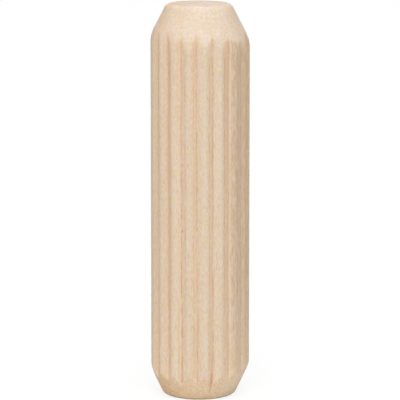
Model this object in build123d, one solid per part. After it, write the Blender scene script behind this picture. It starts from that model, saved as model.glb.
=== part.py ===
"""Fluted hardwood dowel pin, 10 x 40 mm.

One piece of pale, straight-grained hardwood: a round rod with straight flutes pressed along its whole
length, cut to length and turned to a taper at both ends. The flutes let air and glue out of the hole.

Frame: the pin stands on its lower end. The origin is the middle of the rod at the lower end face, +Z runs
up along the grain, and the viewer stands on the -Y side. Lengths are in millimetres, angles in degrees.
"""

import os
from math import atan2, pi, tan

from build123d import *

# Rod
pin_diameter = 10.0  # over the ridges: the hole that the pin is driven into
pin_length = 40.0  # end face to end face

# Flutes: V grooves, all alike, with a narrow ridge of the rod's own round left between two of them
flute_count = 18
flute_width = 1.34  # across the mouth, before the ridge edges are rounded
flute_depth = 0.36  # down to the point of the V, before the root is rounded
flute_root_round = 0.08
ridge_edge_round = 0.06
first_flute_angle = -3.4  # from the viewer's side, towards +X

# Turned ends: each taper falls from its full diameter to the sharp corner with the end face
top_taper_length = 3.70
top_taper_depth = 1.88
bottom_taper_length = 3.28
bottom_taper_depth = 1.50
face_edge_round = 0.55
shoulder_round = 2.2  # where a taper runs out into the ridges
taper_runout = 0.12  # the end cutter's axis stands this far off the rod's, towards -X
turning_allowance = 0.02  # from the ridges out to the tapers' full diameter, on the +X side

# Making
cut_overrun = 0.5  # how far a flute's V reaches out past the rod
edge_limit_share = 0.45  # a rounding takes at most this share of the ridge or the flute beside it

# Worked out from the sizes above
ridge_radius = pin_diameter / 2
ridge_width = pi * pin_diameter / flute_count - flute_width
flute_wall_slope = atan2(flute_depth, flute_width / 2)
full_radius = ridge_radius + taper_runout + turning_allowance
flute_step_angle = 360 / flute_count
viewer_angle = -90  # of the -Y side, counted from +X


def flute_outline():
    """The V of one flute on the rod's +X side, from its root out past its mouth."""
    root = ridge_radius - flute_depth
    mouth = ridge_radius + cut_overrun
    spread = (flute_width / 2) * (mouth - root) / flute_depth
    return Polygon((root, 0), (mouth, -spread), (mouth, spread), align=None)


def fluted_section():
    """The rod's cross-section: a circle with an even ring of V flutes, rounded at their roots and ridges."""
    flute = flute_outline()
    flutes = [Rot(Z=flute_step_angle * place) * flute for place in range(flute_count)]
    section = Circle(ridge_radius) - flutes

    flute_limit = edge_limit_share * flute_depth
    ridge_limit = edge_limit_share * ridge_width / tan(flute_wall_slope / 2)
    roots = section.vertices().group_by(SortBy.DISTANCE)[0]
    section = fillet(roots, radius=min(flute_root_round, flute_limit))
    ridge_edges = section.vertices().group_by(SortBy.DISTANCE)[-1]
    section = fillet(ridge_edges, radius=min(ridge_edge_round, flute_limit, ridge_limit))
    return Rot(Z=viewer_angle + first_flute_angle) * section


def turned_blank():
    """What the end cutter leaves: two end faces and their tapers, turned about the cutter's own axis."""
    bottom_edge = (full_radius - bottom_taper_depth, 0)
    bottom_shoulder = (full_radius, bottom_taper_length)
    top_shoulder = (full_radius, pin_length - top_taper_length)
    top_edge = (full_radius - top_taper_depth, pin_length)
    corner_rounds = {
        bottom_edge: face_edge_round,
        bottom_shoulder: shoulder_round,
        top_shoulder: shoulder_round,
        top_edge: face_edge_round,
    }

    profile = Polygon((0, 0), *corner_rounds, (0, pin_length), align=None)
    for corner, radius in corner_rounds.items():
        profile = fillet(profile.vertices().sort_by_distance(corner)[0], radius=radius)
    return Pos(X=-taper_runout) * revolve(Plane.XZ * profile, Axis.Z)


def dowel_pin():
    """The fluted rod, cut to length and turned at both ends."""
    rod = extrude(fluted_section(), pin_length)
    return (rod & turned_blank()).solid()


pin = dowel_pin()
pin.label = "dowel_pin"
os.makedirs("parts", exist_ok=True)
export_step(pin, "parts/dowel_pin.step")
print("dowel_pin:", round(pin.volume, 1), "mm3 in", len(pin.faces()), "faces")
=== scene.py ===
"""The look of a fluted hardwood dowel pin that stands on its end on a white floor.

The pin is one surface, worked out on a grid of angle by height, and it stands for the CAD solid. Its
wood is one procedural finish. Lengths are in metres. Angles are in degrees, counted from the viewer's
side (-Y) towards +X.
"""

import logging
from dataclasses import dataclass, field
from enum import Enum
from typing import Optional, Union

import bpy
import numpy as np
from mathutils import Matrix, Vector


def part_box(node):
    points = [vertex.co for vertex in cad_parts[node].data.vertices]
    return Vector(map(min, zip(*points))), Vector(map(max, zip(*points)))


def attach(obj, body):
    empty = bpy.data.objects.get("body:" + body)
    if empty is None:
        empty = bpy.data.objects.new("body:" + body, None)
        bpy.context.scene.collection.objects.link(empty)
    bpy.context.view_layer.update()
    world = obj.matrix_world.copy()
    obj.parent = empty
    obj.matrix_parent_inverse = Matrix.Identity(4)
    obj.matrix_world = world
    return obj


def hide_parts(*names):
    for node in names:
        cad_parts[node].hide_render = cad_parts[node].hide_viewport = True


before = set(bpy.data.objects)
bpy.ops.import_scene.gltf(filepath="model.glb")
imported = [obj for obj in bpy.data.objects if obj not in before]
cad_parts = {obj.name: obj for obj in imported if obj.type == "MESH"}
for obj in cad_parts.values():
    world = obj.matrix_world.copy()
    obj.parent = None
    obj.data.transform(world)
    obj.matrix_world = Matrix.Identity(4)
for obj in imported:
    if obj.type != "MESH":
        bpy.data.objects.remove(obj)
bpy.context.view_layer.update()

MM = 0.001
log = logging.getLogger("dowel_pin")

Triple = tuple[float, float, float]
Colour = Triple
Span = tuple[float, float]
Socket = bpy.types.NodeSocket
Feed = Union[Socket, float, Triple]
Feeds = dict[Union[str, int], Feed]

MIX_UNDER, MIX_OVER, MIX_RESULT = 6, 7, 2  # places of the Mix node's colour sockets
USUAL_SPAN: Span = (0.3, 0.7)  # where most values of a noise lie
ACROSS_GRAIN: Triple = (1.0, 1.0, 0.0)  # multiplies a place to leave out its height


class Mask(Enum):
    """What the pin's surface tells its finish, as one number at each vertex."""

    FLUTE_SHADE = "flute"  # painted shade in the flutes: darker and warmer, most on walls turned from the light
    FOOT_BOUNCE_LIGHT = "foot"  # painted floor bounce light: paler sides above the lower taper
    ROOT = "root"  # strength of the nearest root's line
    ROOT_SIDE = "root_side"  # way from that root, from -1 on its left to 1 on its right
    SECOND_LINE = "second_line"
    TAPER = "taper"  # turned wood
    UPPER = "upper"  # the pin's upper half
    PALE_SIDE = "pale_side"  # warm left to pale right on the tapers; painted shade on the upper flanks
    # rough wood on the right; its weaker outer part is painted shade
    ROUGH_AND_SHADE = "rough"
    # torn fibres, and a painted highlight on the upper face's near rim
    TEAR_AND_HIGHLIGHT = "tear"
    CRACK = "crack"  # the crack and the dark flecks
    PALE_END = "pale_end"  # pale lower ends of the flutes
    END_GRAIN = "end_grain"  # the end faces


class Wiring:
    """Adds nodes to one node tree and links them."""

    def __init__(self, tree: bpy.types.NodeTree) -> None:
        """Starts on an empty tree."""
        self.tree = tree
        tree.nodes.clear()

    def add(self, kind: str, feeds: Optional[Feeds] = None, **settings: object) -> bpy.types.Node:
        """Adds one node and feeds its sockets.

        Args:
            kind: Blender's name for the node.
            feeds: by its sockets' names or numbers, other sockets, or numbers, colours and vectors.
            settings: the node's own properties.

        Returns:
            The new node.
        """
        node = self.tree.nodes.new(kind)
        for name, value in settings.items():
            setattr(node, name, value)
        for name, value in (feeds or {}).items():
            socket = node.inputs[name]
            if isinstance(value, Socket):
                self.tree.links.new(value, socket)
            elif isinstance(value, tuple) and socket.type == "RGBA":
                socket.default_value = (*value, 1.0)
            else:
                socket.default_value = value
        return node

    def math(self, operation: str, first: Feed, second: Feed = 0.0, clamp: bool = False) -> Socket:
        """Works out one sum, by Blender's name for it. A clamped result stays between 0 and 1."""
        node = self.add("ShaderNodeMath", {0: first, 1: second}, operation=operation, use_clamp=clamp)
        return node.outputs[0]

    def blend(self, share: Feed, under: Feed, over: Feed, mode: str = "MIX") -> Socket:
        """Lays one colour over another by a share from 0 to 1, in a mode by Blender's name for it."""
        feeds = {"Factor": share, MIX_UNDER: under, MIX_OVER: over}
        return self.add("ShaderNodeMix", feeds, data_type="RGBA", blend_type=mode).outputs[MIX_RESULT]

    def spread(self, value: Socket, low: float, high: float, to_low: Feed, to_high: Feed) -> Socket:
        """Maps a number from one range to another, and stops at its ends."""
        feeds = {"Value": value, "From Min": low, "From Max": high, "To Min": to_low, "To Max": to_high}
        return self.add("ShaderNodeMapRange", feeds).outputs["Result"]

    def mask(self, mask: Mask) -> Socket:
        """Reads one of the surface's own masks."""
        return self.add("ShaderNodeAttribute", attribute_name=mask.value).outputs["Fac"]


@dataclass(frozen=True)
class Fibre:
    """One kind of mark in the wood, drawn by a noise.

    Its sizes are across and along the grain. The start moves the noise's pattern, the detail makes it
    finer, and over the span of the noise the mark goes from nothing to full.
    """

    across: float
    along: float
    start: float
    detail: float = 2.0
    span: Span = USUAL_SPAN


def fibre_group() -> bpy.types.NodeTree:
    """Builds the node group that draws marks stretched along the grain.

    The place on the pin is divided by the marks' width across the grain and by their length along it,
    moved to where the pattern starts, and read into a noise.

    Returns:
        The group, which puts out one number from 0 to 1.
    """
    group = bpy.data.node_groups.new("wood_fibres", "ShaderNodeTree")
    group.interface.new_socket("Place", in_out="INPUT", socket_type="NodeSocketVector")
    for name in ("Across", "Along", "Start", "Detail"):
        group.interface.new_socket(name, in_out="INPUT", socket_type="NodeSocketFloat")
    group.interface.new_socket("Streak", in_out="OUTPUT", socket_type="NodeSocketFloat")

    wiring = Wiring(group)
    given = wiring.add("NodeGroupInput").outputs
    apart = wiring.add("ShaderNodeSeparateXYZ", {0: given["Place"]}).outputs
    moved = {}
    for axis, size in (("X", "Across"), ("Y", "Across"), ("Z", "Along")):
        scaled = wiring.math("DIVIDE", apart[axis], given[size])
        moved[axis] = wiring.math("ADD", scaled, given["Start"])
    place = wiring.add("ShaderNodeCombineXYZ", moved).outputs[0]
    noise = wiring.add("ShaderNodeTexNoise", {"Vector": place, "Scale": 1.0, "Detail": given["Detail"]})
    wiring.add("NodeGroupOutput", {"Streak": noise.outputs[0]})
    return group


class Grain:
    """Draws marks along the grain of one material."""

    def __init__(self, wiring: Wiring) -> None:
        """Starts on a material's nodes, with one node group for all kinds of mark."""
        self.wiring = wiring
        self.group = fibre_group()
        self.place = wiring.add("ShaderNodeTexCoord").outputs["Object"]

    def streak(self, fibre: Fibre) -> Socket:
        """Draws the noise of one kind of mark, a number from 0 to 1 that changes over the surface."""
        feeds = {"Place": self.place, "Across": fibre.across, "Along": fibre.along,
                 "Start": fibre.start, "Detail": fibre.detail}
        return self.wiring.add("ShaderNodeGroup", feeds, node_tree=self.group).outputs["Streak"]

    def marks(self, fibre: Fibre, nothing: float = 0.0, full: float = 1.0) -> Socket:
        """Draws one kind of mark, as a number between those for nothing and for a full mark."""
        return self.wiring.spread(self.streak(fibre), *fibre.span, nothing, full)


@dataclass(frozen=True)
class PaleHardwood:
    """Bare, straight-grained pale hardwood: fine warm fibres, a pink and yellow mottle, and painted flute
    shade.

    A tint is a colour that the wood's own is multiplied by, as far as its mark or mask shows.
    """

    # The wood itself
    pinkish: Colour = (0.799, 0.695, 0.690)
    yellowish: Colour = (0.774, 0.748, 0.467)
    mottle: Fibre = Fibre(across=0.15 * MM, along=0.22 * MM, start=41.7, detail=1.0)
    fine_fibres: Fibre = Fibre(across=0.09 * MM, along=0.37 * MM, start=3.1)
    fine_tint: Colour = (0.895, 0.830, 0.725)
    long_fibres: Fibre = Fibre(across=0.13 * MM, along=8.0 * MM, start=17.4)
    long_tint: Colour = (0.976, 0.945, 0.915)
    patches: Fibre = Fibre(across=0.30 * MM, along=3.0 * MM, start=29.3)
    patch_tint: Colour = (0.991, 0.985, 0.977)
    growth: Fibre = Fibre(across=1.6 * MM, along=60.0 * MM, start=8.2, detail=1.0)
    growth_tint: Colour = (0.980, 0.965, 0.950)
    ruddy: Fibre = Fibre(across=0.16 * MM, along=0.40 * MM, start=83.5, detail=1.0)
    ruddy_tint: Colour = (1.03, 0.895, 0.925)
    pores: Fibre = Fibre(across=0.07 * MM, along=1.4 * MM, start=53.9, span=(0.64, 0.74))
    pore_tint: Colour = (0.86, 0.77, 0.68)

    # Flutes: painted shade in them, painted bounce light above the lower taper, and their roots' lines
    # painted shade: the flutes darker and warmer, by depth and by wall
    flute_shade_tint: Colour = (1.02, 0.93, 0.86)
    # painted bounce light from the floor on the sides above the lower taper
    foot_bounce_light_tint: Colour = (1.08, 1.075, 1.045)
    pale_end_tint: Colour = (1.05, 1.07, 1.09)
    root_tint: Colour = (0.80, 0.54, 0.35)
    root_line_share: float = 0.35  # half a line's width, of the reach that the surface gives it
    root_wobble_share: float = 0.13  # of the same reach
    root_skirt_strength: float = 0.16
    wobble: Fibre = Fibre(across=2.0 * MM, along=0.9 * MM, start=91.4)
    breaks: Fibre = Fibre(across=0.40 * MM, along=1.8 * MM, start=24.9, span=(0.40, 0.58))
    broken_strength: float = 0.25  # what a break leaves of a line

    # Rough wood, partly painted shade, torn fibres with a painted rim highlight, and the crack
    frayed: Fibre = Fibre(across=0.18 * MM, along=1.1 * MM, start=37.8, span=(0.37, 0.63))
    frayed_strengths: Span = (1.12, 0.37)  # of the rough wood's tint
    # rough wood, with painted shade on the right side in its weaker outer part
    rough_wood_and_shade_tint: Colour = (0.815, 0.725, 0.63)
    # torn fibres, and the painted highlight on the upper face's near rim
    torn_fibre_and_highlight: Colour = (0.94, 0.84, 0.72)
    torn_and_highlight_share: float = 0.8
    crack_brown: Colour = (0.60, 0.32, 0.13)

    # Turned ends
    cut_fibres: Fibre = Fibre(across=0.30 * MM, along=0.26 * MM, start=71.3, span=(0.0, 1.0))
    cut_contrast: float = 0.58
    cut_pores: Fibre = Fibre(across=0.12 * MM, along=0.16 * MM, start=12.6, span=(0.56, 0.68))
    cut_pore_tint: Colour = (0.87, 0.71, 0.50)
    turning_marks: Fibre = Fibre(across=30.0 * MM, along=0.15 * MM, start=61.2, span=(0.35, 0.65))
    turning_tint: Colour = (0.97, 0.96, 0.95)
    blush: Fibre = Fibre(across=1.1 * MM, along=1.1 * MM, start=47.9, span=(0.35, 0.65))
    blush_tint: Colour = (0.99, 0.955, 0.91)
    # painted light: the upper taper lighter and cooler under overhead light, the lower warmer from bounce
    # light
    upper_taper_light_tint: Colour = (1.005, 1.045, 1.131)
    lower_taper_bounce_light_tint: Colour = (1.084, 1.062, 1.028)
    # the tapers' warm left side, also the colour of the painted shade on the upper taper's flanks
    warm_side_and_flank_shade_tint: Colour = (0.98, 0.925, 0.87)
    pale_side_tint: Colour = (1.02, 1.075, 1.13)
    end_grain_tint: Colour = (0.922, 0.937, 1.0)
    ring_tint: Colour = (0.93, 0.90, 0.86)
    ring_middle: Triple = (9.0 * MM, 14.0 * MM, 0.0)
    ring_width: float = 1.3 * MM
    ring_wobble: float = 0.5  # of a ring's width
    ring_pale_share: float = 0.35  # of a ring's width

    # Gloss and relief
    rough_fibre: float = 0.84
    smooth_fibre: float = 0.68
    specular_level: float = 0.10
    fibre_relief: float = 0.010 * MM
    fibre_relief_strength: float = 0.5
    cut_relief_strength: float = 0.03

    def root_lines(self, grain: Grain) -> Socket:
        """Draws the brown lines at the flutes' roots.

        A line falls off evenly to both sides of the root, which a slow noise moves a little to the left
        and right. The second lines beside it are read as they are, and another noise breaks all of them
        up along the grain. A wider, fainter and unbroken skirt lies under the line.

        Args:
            grain: what draws the marks.

        Returns:
            How strongly the lines show, from 0 to 1.
        """
        wiring = grain.wiring
        wobble = grain.marks(self.wobble, -self.root_wobble_share, self.root_wobble_share)
        away = wiring.math("ABSOLUTE", wiring.math("ADD", wiring.mask(Mask.ROOT_SIDE), wobble))
        strength = wiring.mask(Mask.ROOT)
        line = wiring.math("MULTIPLY", wiring.spread(away, 0.0, self.root_line_share, 1.0, 0.0), strength)
        line = wiring.math("MAXIMUM", line, wiring.mask(Mask.SECOND_LINE))
        line = wiring.math("MULTIPLY", line, grain.marks(self.breaks, self.broken_strength, 1.0))
        skirt = wiring.spread(away, 0.0, 1.0, self.root_skirt_strength, 0.0)
        return wiring.math("MAXIMUM", line, wiring.math("MULTIPLY", skirt, strength))

    def rings(self, grain: Grain, growth: Socket) -> Socket:
        """Draws the growth rings that show on end grain.

        The distance from the tree's middle, across the grain and divided by a ring's width, is moved a
        little by the wood's slow colour change. Its part after the whole number darkens each ring past
        its pale share, and drops at the ring's edge.

        Args:
            grain: what draws the marks.
            growth: the wood's slow colour change.

        Returns:
            How dark the ring is, from 0 to 1.
        """
        wiring = grain.wiring
        flat = wiring.add("ShaderNodeVectorMath", {0: grain.place, 1: ACROSS_GRAIN}, operation="MULTIPLY")
        ends = {0: flat.outputs[0], 1: self.ring_middle}
        away = wiring.add("ShaderNodeVectorMath", ends, operation="DISTANCE").outputs["Value"]
        count = wiring.math("DIVIDE", away, self.ring_width)
        moved = wiring.math("ADD", count, wiring.spread(growth, 0.0, 1.0, 0.0, self.ring_wobble))
        return wiring.spread(wiring.math("FRACT", moved), self.ring_pale_share, 1.0, 0.0, 1.0)

    def colour(
        self, grain: Grain, taper: Socket, fine: Socket, long: Socket, pores: Socket, turning: Socket
    ) -> Socket:
        """Colours the wood: a mottle of two colours, under the tints of its marks, the work on it, and
        painted light and shade.

        The tints of its fibres, patches, growth and ruddy spots show where their noise is low. Torn fibres
        with the painted rim highlight, and the crack, have colours of their own.

        Args:
            grain: what draws the marks.
            taper: the mask of the turned wood.
            fine: the fine fibres' noise.
            long: the long fibres' noise.
            pores: the pores.
            turning: the turning marks.

        Returns:
            The colour.
        """
        wiring = grain.wiring
        growth = grain.streak(self.growth)
        colour = wiring.blend(grain.marks(self.mottle), self.pinkish, self.yellowish)
        for streak, tint in (
            (fine, self.fine_tint),
            (long, self.long_tint),
            (grain.streak(self.patches), self.patch_tint),
            (growth, self.growth_tint),
            (grain.streak(self.ruddy), self.ruddy_tint),
        ):
            colour = wiring.blend(wiring.spread(streak, *USUAL_SPAN, 1.0, 0.0), colour, tint, "MULTIPLY")

        upper, end_grain = wiring.mask(Mask.UPPER), wiring.mask(Mask.END_GRAIN)
        lower_taper = wiring.math("SUBTRACT", taper, upper, clamp=True)
        frayed = grain.marks(self.frayed, *self.frayed_strengths)
        for share, tint in (
            (pores, self.pore_tint),
            (turning, self.turning_tint),
            (wiring.math("MULTIPLY", taper, grain.marks(self.blush)), self.blush_tint),
            # painted shade in the flutes
            (wiring.mask(Mask.FLUTE_SHADE), self.flute_shade_tint),
            # painted floor bounce light
            (wiring.mask(Mask.FOOT_BOUNCE_LIGHT), self.foot_bounce_light_tint),
            (self.root_lines(grain), self.root_tint),
            # painted overhead light on the upper taper, painted bounce light on the lower one
            (wiring.math("MULTIPLY", taper, upper), self.upper_taper_light_tint),
            (lower_taper, self.lower_taper_bounce_light_tint),
            (wiring.math("MULTIPLY", lower_taper, grain.marks(self.cut_pores)), self.cut_pore_tint),
            # rough wood, partly painted shade on the right side
            (wiring.math("MULTIPLY", wiring.mask(Mask.ROUGH_AND_SHADE), frayed), self.rough_wood_and_shade_tint),
            (wiring.mask(Mask.PALE_END), self.pale_end_tint),
            (end_grain, self.end_grain_tint),
            (wiring.math("MULTIPLY", end_grain, self.rings(grain, growth)), self.ring_tint),
            # warm left and pale right tapers, with painted shade on the upper taper's flanks
            (taper, wiring.blend(wiring.mask(Mask.PALE_SIDE), self.warm_side_and_flank_shade_tint, self.pale_side_tint)),
        ):
            colour = wiring.blend(share, colour, tint, "MULTIPLY")
        # torn fibres, and the painted rim highlight
        torn_and_highlight = wiring.math("MULTIPLY", wiring.mask(Mask.TEAR_AND_HIGHLIGHT), self.torn_and_highlight_share)
        colour = wiring.blend(torn_and_highlight, colour, self.torn_fibre_and_highlight)
        return wiring.blend(wiring.mask(Mask.CRACK), colour, self.crack_brown)

    def material(self) -> bpy.types.Material:
        """Builds the finish. On turned wood, cut fibres take the place of the fine ones.

        Returns:
            The material.
        """
        material = bpy.data.materials.new("pale_hardwood")
        material.use_nodes = True
        wiring = Wiring(material.node_tree)
        grain = Grain(wiring)
        taper = wiring.mask(Mask.TAPER)
        cut = grain.marks(self.cut_fibres, 0.5 - self.cut_contrast / 2, 0.5 + self.cut_contrast / 2)
        fine = wiring.spread(taper, 0.0, 1.0, grain.streak(self.fine_fibres), cut)
        long = grain.streak(self.long_fibres)
        pores = grain.marks(self.pores)
        turning = wiring.math("MULTIPLY", grain.marks(self.turning_marks), taper)
        raised, sunk = wiring.math("ADD", fine, long), wiring.math("ADD", turning, pores)
        strength = wiring.spread(taper, 0.0, 1.0, self.fibre_relief_strength, self.cut_relief_strength)
        relief = wiring.add("ShaderNodeBump", {
            "Strength": strength,
            "Distance": self.fibre_relief,
            "Height": wiring.math("SUBTRACT", raised, sunk),
        })
        surface = wiring.add("ShaderNodeBsdfPrincipled", {
            "Base Color": self.colour(grain, taper, fine, long, pores, turning),
            "Roughness": wiring.spread(fine, *USUAL_SPAN, self.rough_fibre, self.smooth_fibre),
            "Specular IOR Level": self.specular_level,
            "Normal": relief.outputs["Normal"],
        })
        wiring.add("ShaderNodeOutputMaterial", {"Surface": surface.outputs[0]})
        return material


@dataclass(frozen=True)
class TurnedEnd:
    """One turned end: its taper, the round at its face's edge, and how it meets the fluted rod.

    The cutter's axis stands off the rod's to the left by the runout. It also leans: from the end face to
    where the taper ends it moves by the lean, towards the viewer or, below zero, away from the viewer.
    Taper and rod are blended where their radii differ by less than the crease's round, and their colours
    by less than the colours' edge.
    """

    taper_length: float
    taper_depth: float
    left_runout: float
    front_lean: float
    face_round: float
    crease_round: float
    colour_edge: float


@dataclass(frozen=True)
class Stroke:
    """A thin straight mark on the pin, from one angle and height to another."""

    angle_from: float
    height_from: float
    angle_to: float
    height_to: float
    width: float = 0.05 * MM
    strength: float = 1.0


@dataclass(frozen=True)
class OwnFlute:
    """What sets one flute apart from the others.

    Its root stands off its even place by one angle at the upper end and another at the lower one, and may
    bend by a further angle close to the lower end. Its depth, and its width to the left at both ends, are
    shares of the pin's own sizes. Its root's line has a strength at both ends, and each of its two walls
    has its own share of the painted shade in the flute.
    """

    upper_shift: float = 0.0
    lower_shift: float = 0.0
    lower_bend: float = 0.0
    depth_share: float = 1.0
    upper_left_share: float = 1.0
    lower_left_share: float = 1.0
    upper_line: float = 0.75
    lower_line: float = 1.0
    left_wall_shade: float = 0.6
    right_wall_shade: float = 0.6


@dataclass(frozen=True)
class RodPoints:
    """The fluted rod on the grid, before its ends are turned.

    For each point: the radius, how far it lies in a flute, from 0 on a ridge to 1, the angle from the
    nearest root, the strength of that root's line, and the share of painted shade on the flute's wall.
    """

    radius: np.ndarray
    in_flute: np.ndarray
    from_root: np.ndarray
    line: np.ndarray
    wall_shade: np.ndarray


def falling(past: np.ndarray, fade: float) -> np.ndarray:
    """Falls from 1 to 0 at an edge: one over one plus the exponential of the way past it over the fade."""
    return 1 / (1 + np.exp(past / fade))


def add_object(name: str, data: bpy.types.ID) -> bpy.types.Object:
    """Puts a mesh, a lamp or a camera into the scene.

    Args:
        name: the object's name.
        data: the mesh, lamp or camera.

    Returns:
        Its object, at the origin.
    """
    made = bpy.data.objects.new(name, data)
    bpy.context.scene.collection.objects.link(made)
    return made


@dataclass
class DowelPin:
    """The pin: a fluted rod, cut to length and turned to a taper at both ends."""

    length: float
    ridge_radius: float

    # Flutes
    flute_count: int = 18
    flute_half_angle: float = 7.7  # from the root to the V's edge
    flute_depth: float = 0.355 * MM
    first_flute_angle: float = -3.4
    root_round: float = 0.5  # degrees
    ridge_round_share: float = 0.07  # of the depth
    wander_angle: float = 0.22
    wander_lengths: tuple[float, ...] = (14.0 * MM, 5.0 * MM, 2.3 * MM)
    wander_seed: int = 7
    bend_reach: float = 2.0 * MM
    # each flute's two walls carry their own share of painted shade
    own_flutes: dict[int, OwnFlute] = field(default_factory=lambda: {  # by number: the first flute is 0
        -3: OwnFlute(0.9, 1.2, depth_share=0.85, upper_line=0.4, lower_line=0.45,
                     left_wall_shade=0.5, right_wall_shade=1.4),
        -2: OwnFlute(0.6, 1.6, depth_share=0.78, upper_line=0.5, lower_line=0.3,
                     left_wall_shade=0.6, right_wall_shade=1.5),
        -1: OwnFlute(-0.3, 1.0, depth_share=0.71, upper_line=0.45, lower_line=1.05,
                     left_wall_shade=0.6, right_wall_shade=0.7),
        0: OwnFlute(-1.8, 0.7, depth_share=0.97, upper_line=0.5, lower_line=0.8,
                    left_wall_shade=0.7, right_wall_shade=0.25),
        1: OwnFlute(-1.0, -0.2, lower_bend=-5.2, depth_share=1.04, upper_left_share=1.20,
                    lower_left_share=0.96, upper_line=0.65, lower_line=0.85,
                    left_wall_shade=0.5, right_wall_shade=0.0),
        2: OwnFlute(0.2, 0.9, depth_share=0.85, upper_left_share=1.30, lower_left_share=1.12,
                    upper_line=0.5, lower_line=0.3, left_wall_shade=1.4, right_wall_shade=0.0),
        3: OwnFlute(0.3, 0.8, depth_share=0.34, upper_line=0.3, lower_line=0.25,
                    left_wall_shade=0.4, right_wall_shade=0.0),
    })

    # Turned ends
    upper_end: TurnedEnd = TurnedEnd(
        taper_length=3.70 * MM, taper_depth=1.895 * MM, left_runout=0.135 * MM, front_lean=-0.15 * MM,
        face_round=0.70 * MM, crease_round=0.38 * MM, colour_edge=0.12 * MM,
    )
    lower_end: TurnedEnd = TurnedEnd(
        taper_length=3.28 * MM, taper_depth=1.515 * MM, left_runout=0.10 * MM, front_lean=0.24 * MM,
        face_round=0.66 * MM, crease_round=0.18 * MM, colour_edge=0.045 * MM,
    )
    turning_allowance: float = 0.14 * MM  # from the ridges out to the tapers' full radius
    blank_overrun: float = 0.45 * MM  # how much further out the tapers run
    lean_limit: float = 1.25  # share of the taper's length at which the lean stops
    sharper_in_flutes: float = 0.55  # what creases and colour edges lose at a root
    upper_side_share: float = 0.30
    # painted warm shade on both flanks of the upper taper
    upper_flank_shade: float = 0.8
    end_grain_reach: float = 0.06 * MM

    # Painted shade in the flutes, and strength of their roots' lines
    root_reach: float = 3.0  # degrees that a root's line may take to each side
    flute_shade_power: float = 0.6
    wall_shade_change: float = 1.0  # degrees over which one wall's painted shade becomes the other's
    # the painted flute shade grows towards the upper taper
    flute_shade_top_gain: float = 0.8
    flute_shade_top_reach: float = 4.0 * MM
    tip_gain: float = 0.9
    tip_reach: float = 0.35 * MM
    root_lower_gain: float = 0.6
    root_lower_reach: float = 6.0 * MM
    second_line_share: float = 0.5
    pale_end_reach: float = 0.30 * MM
    foot_bounce_light_reach: float = 3.5 * MM

    # Rough wood on the right: a core, and a weaker part that fades out, partly painted shade
    rough_from: float = 40.1
    rough_core_to: float = 49.8
    rough_to: float = 98.0
    rough_outer_share: float = 0.65
    rough_lower_to: float = 13.0 * MM
    rough_lower_loss: float = 0.58
    rough_fade: float = 0.8  # degrees
    rough_end_fade: float = 6.0  # degrees
    torn_rise: float = 0.15 * MM  # in radius, how far its core reaches past the upper taper's cut

    # Marks
    tear_and_highlight_lift: float = 0.015 * MM
    crack_depth: float = 0.025 * MM
    tears_and_rim_highlight: tuple[Stroke, ...] = (
        Stroke(-69.9, 2.38 * MM, -61.2, 1.99 * MM, 0.06 * MM),
        Stroke(-29.3, 2.35 * MM, -22.8, 1.71 * MM, 0.045 * MM),
        Stroke(-7.7, 2.57 * MM, -2.3, 1.99 * MM, 0.045 * MM, strength=0.75),
        Stroke(-6.3, 1.90 * MM, -1.5, 1.54 * MM, 0.04 * MM, strength=0.7),
        Stroke(19.6, 2.09 * MM, 24.4, 2.67 * MM, 0.045 * MM, strength=0.6),
        # painted highlight along the upper face's near rim
        Stroke(-11.5, 39.94 * MM, 8.0, 39.94 * MM, 0.035 * MM, strength=0.6),
    )
    cracks: tuple[Stroke, ...] = (
        Stroke(15.3, 4.60 * MM, 14.4, 3.00 * MM, strength=0.4),
        Stroke(14.4, 3.00 * MM, 13.6, 2.25 * MM, 0.07 * MM, strength=0.8),
        Stroke(13.6, 2.25 * MM, 13.2, 1.75 * MM, 0.07 * MM),
        Stroke(13.2, 1.75 * MM, 13.6, 1.15 * MM, 0.055 * MM),
        Stroke(13.6, 1.15 * MM, 13.4, 0.80 * MM, 0.04 * MM, strength=0.6),
    )
    flecks: tuple[Stroke, ...] = (
        Stroke(-22.1, 24.35 * MM, -22.1, 24.25 * MM),
        Stroke(-21.5, 17.70 * MM, -21.5, 17.50 * MM),
        Stroke(-3.7, 17.85 * MM, -3.8, 17.70 * MM),
        Stroke(8.8, 31.15 * MM, 8.8, 31.05 * MM),
        Stroke(76.4, 27.45 * MM, 76.4, 27.30 * MM, 0.06 * MM),
    )
    second_lines: tuple[Stroke, ...] = (
        Stroke(-37.9, 9.0 * MM, -37.7, 35.0 * MM),
        Stroke(-17.8, 9.0 * MM, -18.0, 35.0 * MM),
        Stroke(-26.1, 2.5 * MM, -26.0, 10.0 * MM),
        Stroke(-7.1, 3.0 * MM, -7.3, 36.0 * MM),
        Stroke(10.6, 4.0 * MM, 10.9, 35.0 * MM),
        Stroke(17.0, 2.5 * MM, 17.2, 18.0 * MM),
        Stroke(29.4, 9.0 * MM, 29.6, 35.0 * MM, 0.06 * MM),
    )

    # The grid: its columns, and the steps between its rows
    columns_per_flute: int = 22  # so that a column runs along the crack
    column_crowding: float = 0.5
    face_rows: int = 9
    round_rows: int = 9
    path_points: int = 20001
    fine_step: float = 0.07 * MM
    taper_step: float = 0.10 * MM
    shank_step: float = 0.8 * MM
    shank_from: float = 2.1 * MM
    crease_above: float = 1.15 * MM
    crease_below: float = 2.35 * MM
    rim_reach: float = 0.35 * MM
    fleck_reach: float = 0.22 * MM
    masks: dict[Mask, np.ndarray] = field(default_factory=dict)  # filled by surface()

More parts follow.
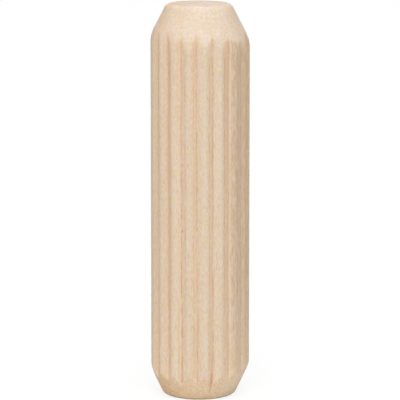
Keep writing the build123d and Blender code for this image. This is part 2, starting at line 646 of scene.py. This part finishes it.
    def columns(self) -> np.ndarray:
        """Angles of the grid's columns.

        Within each flute's pitch the columns are even steps, pushed by a sine of twice the pitch towards
        the root and the ridge's middle.

        Returns:
            The angles, all the way round once.
        """
        count = self.columns_per_flute
        even = np.arange(count) / count - 0.5
        crowded = even - self.column_crowding * np.sin(4 * np.pi * even) / (4 * np.pi)
        pitch = 360 / self.flute_count
        return (self.first_flute_angle + pitch * (np.arange(self.flute_count)[:, None] + crowded)).ravel()

    def rounded_corner(
        self, before: np.ndarray, corner: np.ndarray, after: np.ndarray, radius: float
    ) -> np.ndarray:
        """Rounds one corner of the turned outline.

        The arc touches both sides at the radius divided by the tangent of half the corner's angle, and
        its middle lies on the corner's bisector.

        Args:
            before: the point before the corner, as radius and height.
            corner: the corner.
            after: the point after it.
            radius: the arc's radius.

        Returns:
            Points along the arc.
        """
        back = (before - corner) / np.linalg.norm(before - corner)
        forth = (after - corner) / np.linalg.norm(after - corner)
        half = np.arccos(np.clip(back @ forth, -1, 1)) / 2
        middle = corner + (back + forth) / np.linalg.norm(back + forth) * radius / np.sin(half)
        start = corner + back * radius / np.tan(half) - middle
        end = corner + forth * radius / np.tan(half) - middle
        turn = np.linspace(0, 1, self.round_rows)[:, None]
        sweep = np.pi - 2 * half
        return middle + (np.sin((1 - turn) * sweep) * start + np.sin(turn * sweep) * end) / np.sin(sweep)

    def outline(self) -> np.ndarray:
        """The turned blank's outline from the lower face's edge to the upper face's edge.

        The tapers run on past the ridges, where the blank is out of the wood. The faces' edges are
        rounded.

        Returns:
            One row of radius and height for each point.
        """
        full = self.ridge_radius + self.turning_allowance
        halves = []
        for end, face, inwards in ((self.lower_end, 0.0, 1), (self.upper_end, self.length, -1)):
            past = self.blank_overrun * end.taper_length / end.taper_depth
            shoulder = np.array([full + self.blank_overrun, face + inwards * (end.taper_length + past)])
            edge, middle = np.array([full - end.taper_depth, face]), np.array([0.0, face])
            rounded = self.rounded_corner(middle, edge, shoulder, end.face_round)
            halves.append(np.vstack([rounded, shoulder]))
        return np.vstack([halves[0], halves[1][::-1]])

    def profile(self) -> np.ndarray:
        """Divides the turned blank's outline into the grid's rows.

        The rows are closest where flutes and ridges end on a taper and at the faces' edges, close on the
        rest of the tapers and at the flecks, and far apart along the shank.

        Returns:
            One row of radius and height for each row of the grid.
        """
        path = self.outline()
        run = np.append(0, np.cumsum(np.linalg.norm(np.diff(path, axis=0), axis=1)))
        dense = np.linspace(0, run[-1], self.path_points)
        height = np.interp(dense, run, path[:, 1])
        above_lower = height - self.lower_end.taper_length
        past_taper = np.minimum(above_lower, self.length - self.upper_end.taper_length - height)
        at_crease = (past_taper > -self.crease_below) & (past_taper < self.crease_above)
        at_rim = np.minimum(height, self.length - height) < self.rim_reach
        fleck_heights = np.array([(fleck.height_from + fleck.height_to) / 2 for fleck in self.flecks])
        from_fleck = np.abs(height[:, None] - fleck_heights).min(axis=1)
        on_shank = (past_taper > self.shank_from) & (from_fleck > self.fleck_reach)
        step = np.where(at_crease | at_rim, self.fine_step, self.taper_step)
        step = np.where(on_shank, self.shank_step, step)
        rows_so_far = np.append(0, np.cumsum(np.diff(dense) / step[1:]))
        chosen = np.interp(np.arange(int(rows_so_far[-1]) + 1), rows_so_far, dense)
        chosen = np.append(chosen, run[-1])
        return np.column_stack([np.interp(chosen, run, path[:, 0]), np.interp(chosen, run, path[:, 1])])

    def each_end(self, name: str, height: np.ndarray) -> np.ndarray:
        """Looks up a size of the upper end above the pin's middle, and of the lower end below it."""
        upper, lower = getattr(self.upper_end, name), getattr(self.lower_end, name)
        return np.where(height > self.length / 2, upper, lower)

    def own(self, name: str, flute: np.ndarray) -> np.ndarray:
        """Looks up what sets each flute apart.

        Args:
            name: the field of OwnFlute.
            flute: the flutes' numbers, counted all the way round from the viewer's side.

        Returns:
            That field of each flute; a flute with none stated is like the others.
        """
        values = np.full(self.flute_count, getattr(OwnFlute(), name))
        for number, flute_itself in self.own_flutes.items():
            values[number % self.flute_count] = getattr(flute_itself, name)
        return values[flute]

    def between_ends(self, name: str, flute: np.ndarray, height: np.ndarray) -> np.ndarray:
        """Looks up the lower and the upper field of each flute, and draws a straight line between them."""
        lower, upper = self.own("lower_" + name, flute), self.own("upper_" + name, flute)
        return lower + (upper - lower) * height / self.length

    def root_shift(self, flute: np.ndarray, height: np.ndarray) -> np.ndarray:
        """How far each flute's root stands off its even place.

        It is the flute's own shift between the ends, plus a bend that dies away above the lower end as an
        exponential, plus a few sines along the height, each with its own length and with a start that
        differs from flute to flute.

        Args:
            flute: each point's flute.
            height: the points' heights.

        Returns:
            The shift in degrees.
        """
        size = (len(self.wander_lengths), self.flute_count)
        starts = np.random.default_rng(self.wander_seed).uniform(0, 2 * np.pi, size)
        waves = [np.sin(2 * np.pi * height / length + start[flute]) / (1 + order)
                 for order, (length, start) in enumerate(zip(self.wander_lengths, starts))]
        bend = self.own("lower_bend", flute) * np.exp(-height / self.bend_reach)
        return self.between_ends("shift", flute, height) + bend + self.wander_angle * np.sum(waves, axis=0)

    def fluted_rod(self, angle: np.ndarray, height: np.ndarray) -> RodPoints:
        """The rod before its ends are turned.

        Each flute is a V in the angle from its root: one minus that angle over the V's half angle, no less
        than nothing, times the depth. To the left, the half angle is multiplied by the flute's own share.
        A root of squares rounds the V at the root and at the ridges' edges. The root's shift dies away
        towards the ridges' middles, as the cosine squared of the place within the pitch. The left wall's
        share of painted shade becomes the right one's as a hyperbolic tangent of the angle from the root.

        Args:
            angle: the points' angles, counted all the way round.
            height: the points' heights.

        Returns:
            The rod's points.
        """
        pitch = 360 / self.flute_count
        place = (angle - self.first_flute_angle) / pitch
        number = np.rint(place)
        flute = number.astype(int) % self.flute_count
        shift = self.root_shift(flute, height)
        from_root = (place - number) * pitch - shift * np.cos(np.pi * (place - number)) ** 2

        softened = np.sqrt(from_root ** 2 + self.root_round ** 2) - self.root_round
        left_share = self.between_ends("left_share", flute, height)
        vee = 1 - softened / (self.flute_half_angle * np.where(from_root < 0, left_share, 1))
        vee = (vee + np.sqrt(vee ** 2 + self.ridge_round_share ** 2)) / 2
        radius = self.ridge_radius - self.flute_depth * self.own("depth_share", flute) * vee
        share = np.clip((self.ridge_radius - radius) / self.flute_depth, 0, 1)

        left_wall_shade, right_wall_shade = self.own("left_wall_shade", flute), self.own("right_wall_shade", flute)
        rightness = (1 + np.tanh(from_root / self.wall_shade_change)) / 2
        line = self.between_ends("line", flute, height)
        return RodPoints(
            radius=radius,
            in_flute=share ** self.flute_shade_power,
            from_root=from_root,
            line=np.where(np.abs(from_root) < self.root_reach, line, 0),
            wall_shade=left_wall_shade + (right_wall_shade - left_wall_shade) * rightness,
        )

    def turned_blank(self, radius: np.ndarray, angle: np.ndarray, height: np.ndarray) -> np.ndarray:
        """The turned blank's radius about the rod's axis.

        The blank is round about the cutter's axis, so its radius at an angle is that axis's share along
        the angle, plus the root of the blank's own radius squared less the square of the axis's share
        across it.

        Args:
            radius: the rows' own radius, about the cutter's axis.
            angle: the points' angles.
            height: the points' heights.

        Returns:
            The radius at each point.
        """
        turn = np.radians(angle)
        from_face = np.minimum(height, self.length - height)
        lean = np.clip(from_face / self.each_end("taper_length", height), 0, self.lean_limit)
        left, front = self.each_end("left_runout", height), self.each_end("front_lean", height) * lean
        along = front * np.cos(turn) - left * np.sin(turn)
        across = front * np.sin(turn) + left * np.cos(turn)
        return along + np.sqrt(radius ** 2 - across ** 2)

    def marked(self, strokes: tuple[Stroke, ...], angle: np.ndarray, height: np.ndarray) -> np.ndarray:
        """How strongly the strongest of several marks shows at each point.

        Each mark is a bell curve of the distance from its line, over its width.

        Args:
            strokes: the marks.
            angle: the points' angles.
            height: the points' heights.

        Returns:
            A number from 0 to 1 for each point.
        """
        strongest = np.zeros(angle.shape)
        for stroke in strokes:
            arc = np.radians(angle - stroke.angle_from) * self.ridge_radius
            rise = height - stroke.height_from
            run = np.array([np.radians(stroke.angle_to - stroke.angle_from) * self.ridge_radius,
                            stroke.height_to - stroke.height_from])
            along = np.clip((arc * run[0] + rise * run[1]) / (run @ run), 0, 1)
            away = np.hypot(arc - along * run[0], rise - along * run[1])
            strongest = np.maximum(strongest, stroke.strength * np.exp(-(away / stroke.width) ** 2))
        return strongest

    def wood_masks(
        self, rod: RodPoints, angle: np.ndarray, height: np.ndarray, gap: np.ndarray
    ) -> dict[Mask, np.ndarray]:
        """Works out what the finish reads.

        The taper's mask rises evenly over the colours' edge, which is narrower in the flutes, as the rod
        comes to stand out of the blank. The rough wood's core reaches a little further up the upper taper.
        What grows towards an end or a cut does so as an exponential of the way there. A taper's pale side
        is the right one, by the sine of the angle. The upper taper has a share of that, and painted warm
        shade on both flanks by the sine squared.

        Args:
            rod: the fluted rod's points.
            angle: the points' angles, from -180 to 180.
            height: the points' heights.
            gap: how far the rod stands out of the turned blank or, below zero, lies inside it.

        Returns:
            The masks.
        """
        upper = (height > self.length / 2).astype(float)
        core = falling(angle - self.rough_core_to, self.rough_fade)
        start = falling(self.rough_from - angle, self.rough_fade)
        edge = self.each_end("colour_edge", height) * (1 - self.sharper_in_flutes * rod.in_flute)
        taper = np.clip(0.5 + (gap - self.torn_rise * core * start * upper) / (2 * edge), 0, 1)
        shank = 1 - taper

        rough = start * (self.rough_outer_share + (1 - self.rough_outer_share) * core)
        rough = rough * falling(angle - self.rough_to, self.rough_end_fade)
        rough = rough * (1 - self.rough_lower_loss * np.clip(1 - height / self.rough_lower_to, 0, 1))
        below_upper = np.clip(self.length - self.upper_end.taper_length - height, 0, None)
        above_lower = np.clip(height - self.lower_end.taper_length, 0, None)
        inside = np.minimum(gap, 0)
        # painted flute shade, stronger towards the upper taper
        top_shade_gain = 1 + self.flute_shade_top_gain * np.exp(-below_upper / self.flute_shade_top_reach)
        root = rod.line * (1 + self.root_lower_gain * np.exp(-height / self.root_lower_reach))
        root = root * (1 + self.tip_gain * np.exp(inside / self.tip_reach))
        second = self.second_line_share * self.marked(self.second_lines, angle, height)
        pale_end = rod.in_flute * (1 - upper) * np.exp(inside / self.pale_end_reach)
        side = np.sin(np.radians(angle))
        # painted warm shade on the upper taper's flanks, by the sine squared
        pale = np.where(upper > 0, self.upper_side_share * side - self.upper_flank_shade * side ** 2, side)
        from_face = np.minimum(height, self.length - height)
        return {
            Mask.FLUTE_SHADE: top_shade_gain * rod.wall_shade * rod.in_flute * shank,
            Mask.FOOT_BOUNCE_LIGHT: side ** 2 * np.exp(-above_lower / self.foot_bounce_light_reach) * shank,
            Mask.ROOT: root * shank,
            Mask.ROOT_SIDE: np.clip(rod.from_root / self.root_reach, -1, 1),
            Mask.SECOND_LINE: second * shank,
            Mask.TAPER: taper,
            Mask.UPPER: upper,
            Mask.PALE_SIDE: np.clip(0.5 + pale / 2, 0, 1),
            Mask.ROUGH_AND_SHADE: rough * shank,
            Mask.TEAR_AND_HIGHLIGHT: self.marked(self.tears_and_rim_highlight, angle, height),
            Mask.CRACK: self.marked(self.cracks + self.flecks, angle, height),
            Mask.END_GRAIN: 1 - np.clip(from_face / self.end_grain_reach, 0, 1),
            Mask.PALE_END: pale_end * shank,
        }

    def surface(self) -> np.ndarray:
        """Works out the grid of points, and keeps the masks that the finish reads.

        The radius is the smaller of the fluted rod's and the turned blank's. Where the two differ by less
        than the crease's round, which is smaller in the flutes, the square of what is missing to it, over
        four times the round, is taken off. Torn fibres and the painted rim highlight are raised, and the
        crack and flecks are sunk. Each row of an end face is its edge, drawn towards the cutter's axis by
        an even share.

        Returns:
            The points with those of the end faces, as rows by columns by three.
        """
        profile = self.profile()
        around, height = np.meshgrid(self.columns(), profile[:, 1])
        rod = self.fluted_rod(around, height)
        blank = self.turned_blank(profile[:, :1], around, height)
        gap = rod.radius - blank
        crease = self.each_end("crease_round", height) * (1 - self.sharper_in_flutes * rod.in_flute)
        radius = np.minimum(rod.radius, blank) - np.clip(crease - np.abs(gap), 0, None) ** 2 / (4 * crease)
        self.masks = self.wood_masks(rod, (around + 180) % 360 - 180, height, gap)
        tear, crack = self.masks[Mask.TEAR_AND_HIGHLIGHT], self.masks[Mask.CRACK]
        radius = radius + self.tear_and_highlight_lift * tear - self.crack_depth * crack
        turn = np.radians(around)
        points = np.stack([radius * np.sin(turn), -radius * np.cos(turn), height], axis=-1)

        share = (np.arange(1, self.face_rows) / self.face_rows)[:, None, None]
        lower_middle, upper_middle = self.face_middles()
        lower = lower_middle + share * (points[:1] - lower_middle)
        upper = upper_middle + share[::-1] * (points[-1:] - upper_middle)
        return np.concatenate([lower, points, upper])

    def face_middles(self) -> np.ndarray:
        """The middles of the lower and the upper end face, on their cutters' axes."""
        ends = ((self.lower_end, 0.0), (self.upper_end, self.length))
        return np.array([(-end.left_runout, 0.0, height) for end, height in ends])

    def build(self) -> bpy.types.Object:
        """Builds the pin as one closed mesh: quads between the rows, and a fan in the middle of each face.

        The masks are written to its vertices. The end faces repeat their edges' values.

        Returns:
            The pin's object.
        """
        points = self.surface()
        rows, columns = points.shape[:2]
        vertices = np.concatenate([points.reshape(-1, 3), self.face_middles()])

        index = np.arange(rows * columns).reshape(rows, columns)
        beside = np.roll(index, -1, axis=1)
        quads = np.stack([index[:-1], beside[:-1], beside[1:], index[1:]], axis=-1).reshape(-1, 4)
        lower_fan = np.stack([np.full(columns, rows * columns), beside[0], index[0]], axis=-1)
        upper_fan = np.stack([np.full(columns, rows * columns + 1), index[-1], beside[-1]], axis=-1)
        corners = np.concatenate([quads.ravel(), lower_fan.ravel(), upper_fan.ravel()])
        sizes = np.concatenate([np.full(len(quads), 4), np.full(2 * columns, 3)])

        mesh = bpy.data.meshes.new("fluted_pin")
        mesh.vertices.add(len(vertices))
        mesh.vertices.foreach_set("co", vertices.ravel())
        mesh.loops.add(len(corners))
        mesh.loops.foreach_set("vertex_index", corners)
        mesh.polygons.add(len(sizes))
        mesh.polygons.foreach_set("loop_start", np.cumsum(sizes) - sizes)
        mesh.update(calc_edges=True)
        mesh.validate()
        mesh.shade_smooth()
        added = self.face_rows - 1
        for mask, values in self.masks.items():
            spread = np.pad(values, ((added, added), (0, 0)), mode="edge")
            middles = [spread[0].mean(), spread[-1].mean()]
            attribute = mesh.attributes.new(mask.value, "FLOAT", "POINT")
            attribute.data.foreach_set("value", np.append(spread.ravel(), middles).astype(np.float32))
        return add_object("fluted_pin", mesh)

    def dress(self, pin: bpy.types.Object, finish: PaleHardwood) -> None:
        """Gives the pin its wood, and puts it in the place of the CAD solid.

        Args:
            pin: the pin's object.
            finish: the wood.
        """
        pin.data.materials.append(finish.material())
        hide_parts("dowel_pin")
        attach(pin, "root")


def by_ray(wiring: Wiring, lighting: Socket, shown: Socket) -> Socket:
    """Picks a shader by the kind of ray: one that lights the pin, or one that shows the background.

    Args:
        wiring: the nodes of the floor or the sky.
        lighting: the shader for rays that light the pin.
        shown: the shader for rays from the camera or by way of a reflection.

    Returns:
        The shader for all rays.
    """
    path = wiring.add("ShaderNodeLightPath").outputs
    mirrored = wiring.math("MAXIMUM", path["Is Glossy Ray"], path["Is Transmission Ray"])
    seen = wiring.math("MAXIMUM", path["Is Camera Ray"], mirrored)
    return wiring.add("ShaderNodeMixShader", {0: seen, 1: lighting, 2: shown}).outputs[0]


@dataclass(frozen=True)
class WhiteFloor:
    """A wide white floor, which keeps a faint shadow of the pin."""

    half_width: float = 3.0
    bounce: Colour = (0.85, 0.85, 0.85)
    glow: float = 0.86
    shadow_catch: Colour = (0.14, 0.14, 0.14)

    def material(self) -> bpy.types.Material:
        """Builds the finish: it lights the pin as a pale floor does, and looks white but for the shadow.

        Returns:
            The material.
        """
        material = bpy.data.materials.new("white_floor")
        material.use_nodes = True
        wiring = Wiring(material.node_tree)
        pale = wiring.add("ShaderNodeBsdfDiffuse", {"Color": self.bounce})
        shaded = wiring.add("ShaderNodeBsdfDiffuse", {"Color": self.shadow_catch})
        white = wiring.add("ShaderNodeEmission", {"Strength": self.glow})
        shown = wiring.add("ShaderNodeAddShader", {0: white.outputs[0], 1: shaded.outputs[0]})
        surface = by_ray(wiring, pale.outputs[0], shown.outputs[0])
        wiring.add("ShaderNodeOutputMaterial", {"Surface": surface})
        return material

    def build(self) -> bpy.types.Object:
        """Builds the floor as one square under the pin.

        Returns:
            The floor's object.
        """
        corner = np.array([(-1, -1), (1, -1), (1, 1), (-1, 1)]) * self.half_width
        mesh = bpy.data.meshes.new("floor")
        mesh.from_pydata(np.column_stack([corner, np.zeros(4)]).tolist(), [], [(0, 1, 2, 3)])
        mesh.materials.append(self.material())
        floor = add_object("floor", mesh)
        return floor


@dataclass(frozen=True)
class SoftLamp:
    """A square lamp: the share of the light that it gives what faces it, where it stands, and its side."""

    name: str
    share: float
    azimuth: float
    elevation: float
    size: float


@dataclass(frozen=True)
class Studio:
    """Plain soft light from all round, soft lamps overhead, in front and behind, and the camera."""

    sky_colour: Colour = (1.0, 1.0, 1.0)
    sky_strength: float = 0.24
    lamps: tuple[SoftLamp, ...] = (
        SoftLamp("front_lamp", share=0.31, azimuth=-3.0, elevation=35.0, size=0.80),
        SoftLamp("overhead_lamp", share=0.85, azimuth=0.0, elevation=75.0, size=1.35),
        SoftLamp("back_lamp", share=0.16, azimuth=180.0, elevation=12.0, size=1.20),
    )
    lamp_distance: float = 1.8
    camera_elevation: float = 9.91
    camera_distance: float = 0.2944
    camera_lens: float = 261.4  # millimetres
    camera_sensor: float = 36.0  # millimetres
    camera_near: float = 0.01
    aim: Triple = (-0.011 * MM, 0.0, 19.985 * MM)

    def stand(self, thing: bpy.types.Object, azimuth: float, elevation: float, distance: float) -> None:
        """Stands a lamp or the camera off the pin, turned towards it.

        Args:
            thing: the lamp or camera.
            azimuth: the side it stands on, from the viewer's to the right.
            elevation: its angle above level.
            distance: how far it stands from the point it aims at.
        """
        across, up = np.radians(azimuth), np.radians(elevation)
        away = Vector((np.sin(across) * np.cos(up), -np.cos(across) * np.cos(up), np.sin(up)))
        thing.location = Vector(self.aim) + away * distance
        thing.rotation_euler = away.to_track_quat("Z", "Y").to_euler()

    def light(self) -> None:
        """Lights the pin with a white sky and with the lamps.

        A lamp's power is its share times the square of pi times its distance.
        """
        world = bpy.data.worlds.new("studio")
        world.use_nodes = True
        wiring = Wiring(world.node_tree)
        plain = {"Color": self.sky_colour}
        even = wiring.add("ShaderNodeBackground", {**plain, "Strength": self.sky_strength})
        white = wiring.add("ShaderNodeBackground", plain)
        surface = by_ray(wiring, even.outputs[0], white.outputs[0])
        wiring.add("ShaderNodeOutputWorld", {"Surface": surface})
        bpy.context.scene.world = world

        for lamp in self.lamps:
            data = bpy.data.lights.new(lamp.name, "AREA")
            data.size = lamp.size
            data.energy = lamp.share * (np.pi * self.lamp_distance) ** 2
            self.stand(add_object(lamp.name, data), lamp.azimuth, lamp.elevation, self.lamp_distance)

    def shoot(self) -> None:
        """Sets up the camera, a long lens a little above level, and plain colours."""
        data = bpy.data.cameras.new("camera")
        data.sensor_width = self.camera_sensor
        data.lens = self.camera_lens
        data.clip_start = self.camera_near
        camera = add_object("camera", data)
        self.stand(camera, 0.0, self.camera_elevation, self.camera_distance)
        bpy.context.scene.camera = camera
        bpy.context.scene.view_settings.view_transform = "Standard"


def main() -> None:
    """Builds the pin, the floor, the lights and the camera, in that order."""
    logging.basicConfig(level=logging.INFO, format="%(name)s: %(message)s")
    low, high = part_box("dowel_pin")
    pin_sizes = DowelPin(length=high[2] - low[2], ridge_radius=(high[0] - low[0]) / 2)
    pin = pin_sizes.build()
    pin_sizes.dress(pin, PaleHardwood())
    log.info("pin: %d vertices, %d faces", len(pin.data.vertices), len(pin.data.polygons))
    floor = WhiteFloor().build()
    log.info("floor: %s", floor.name)
    studio = Studio()
    studio.light()
    studio.shoot()
    log.info("lights and camera set")


if __name__ == "__main__":
    main()
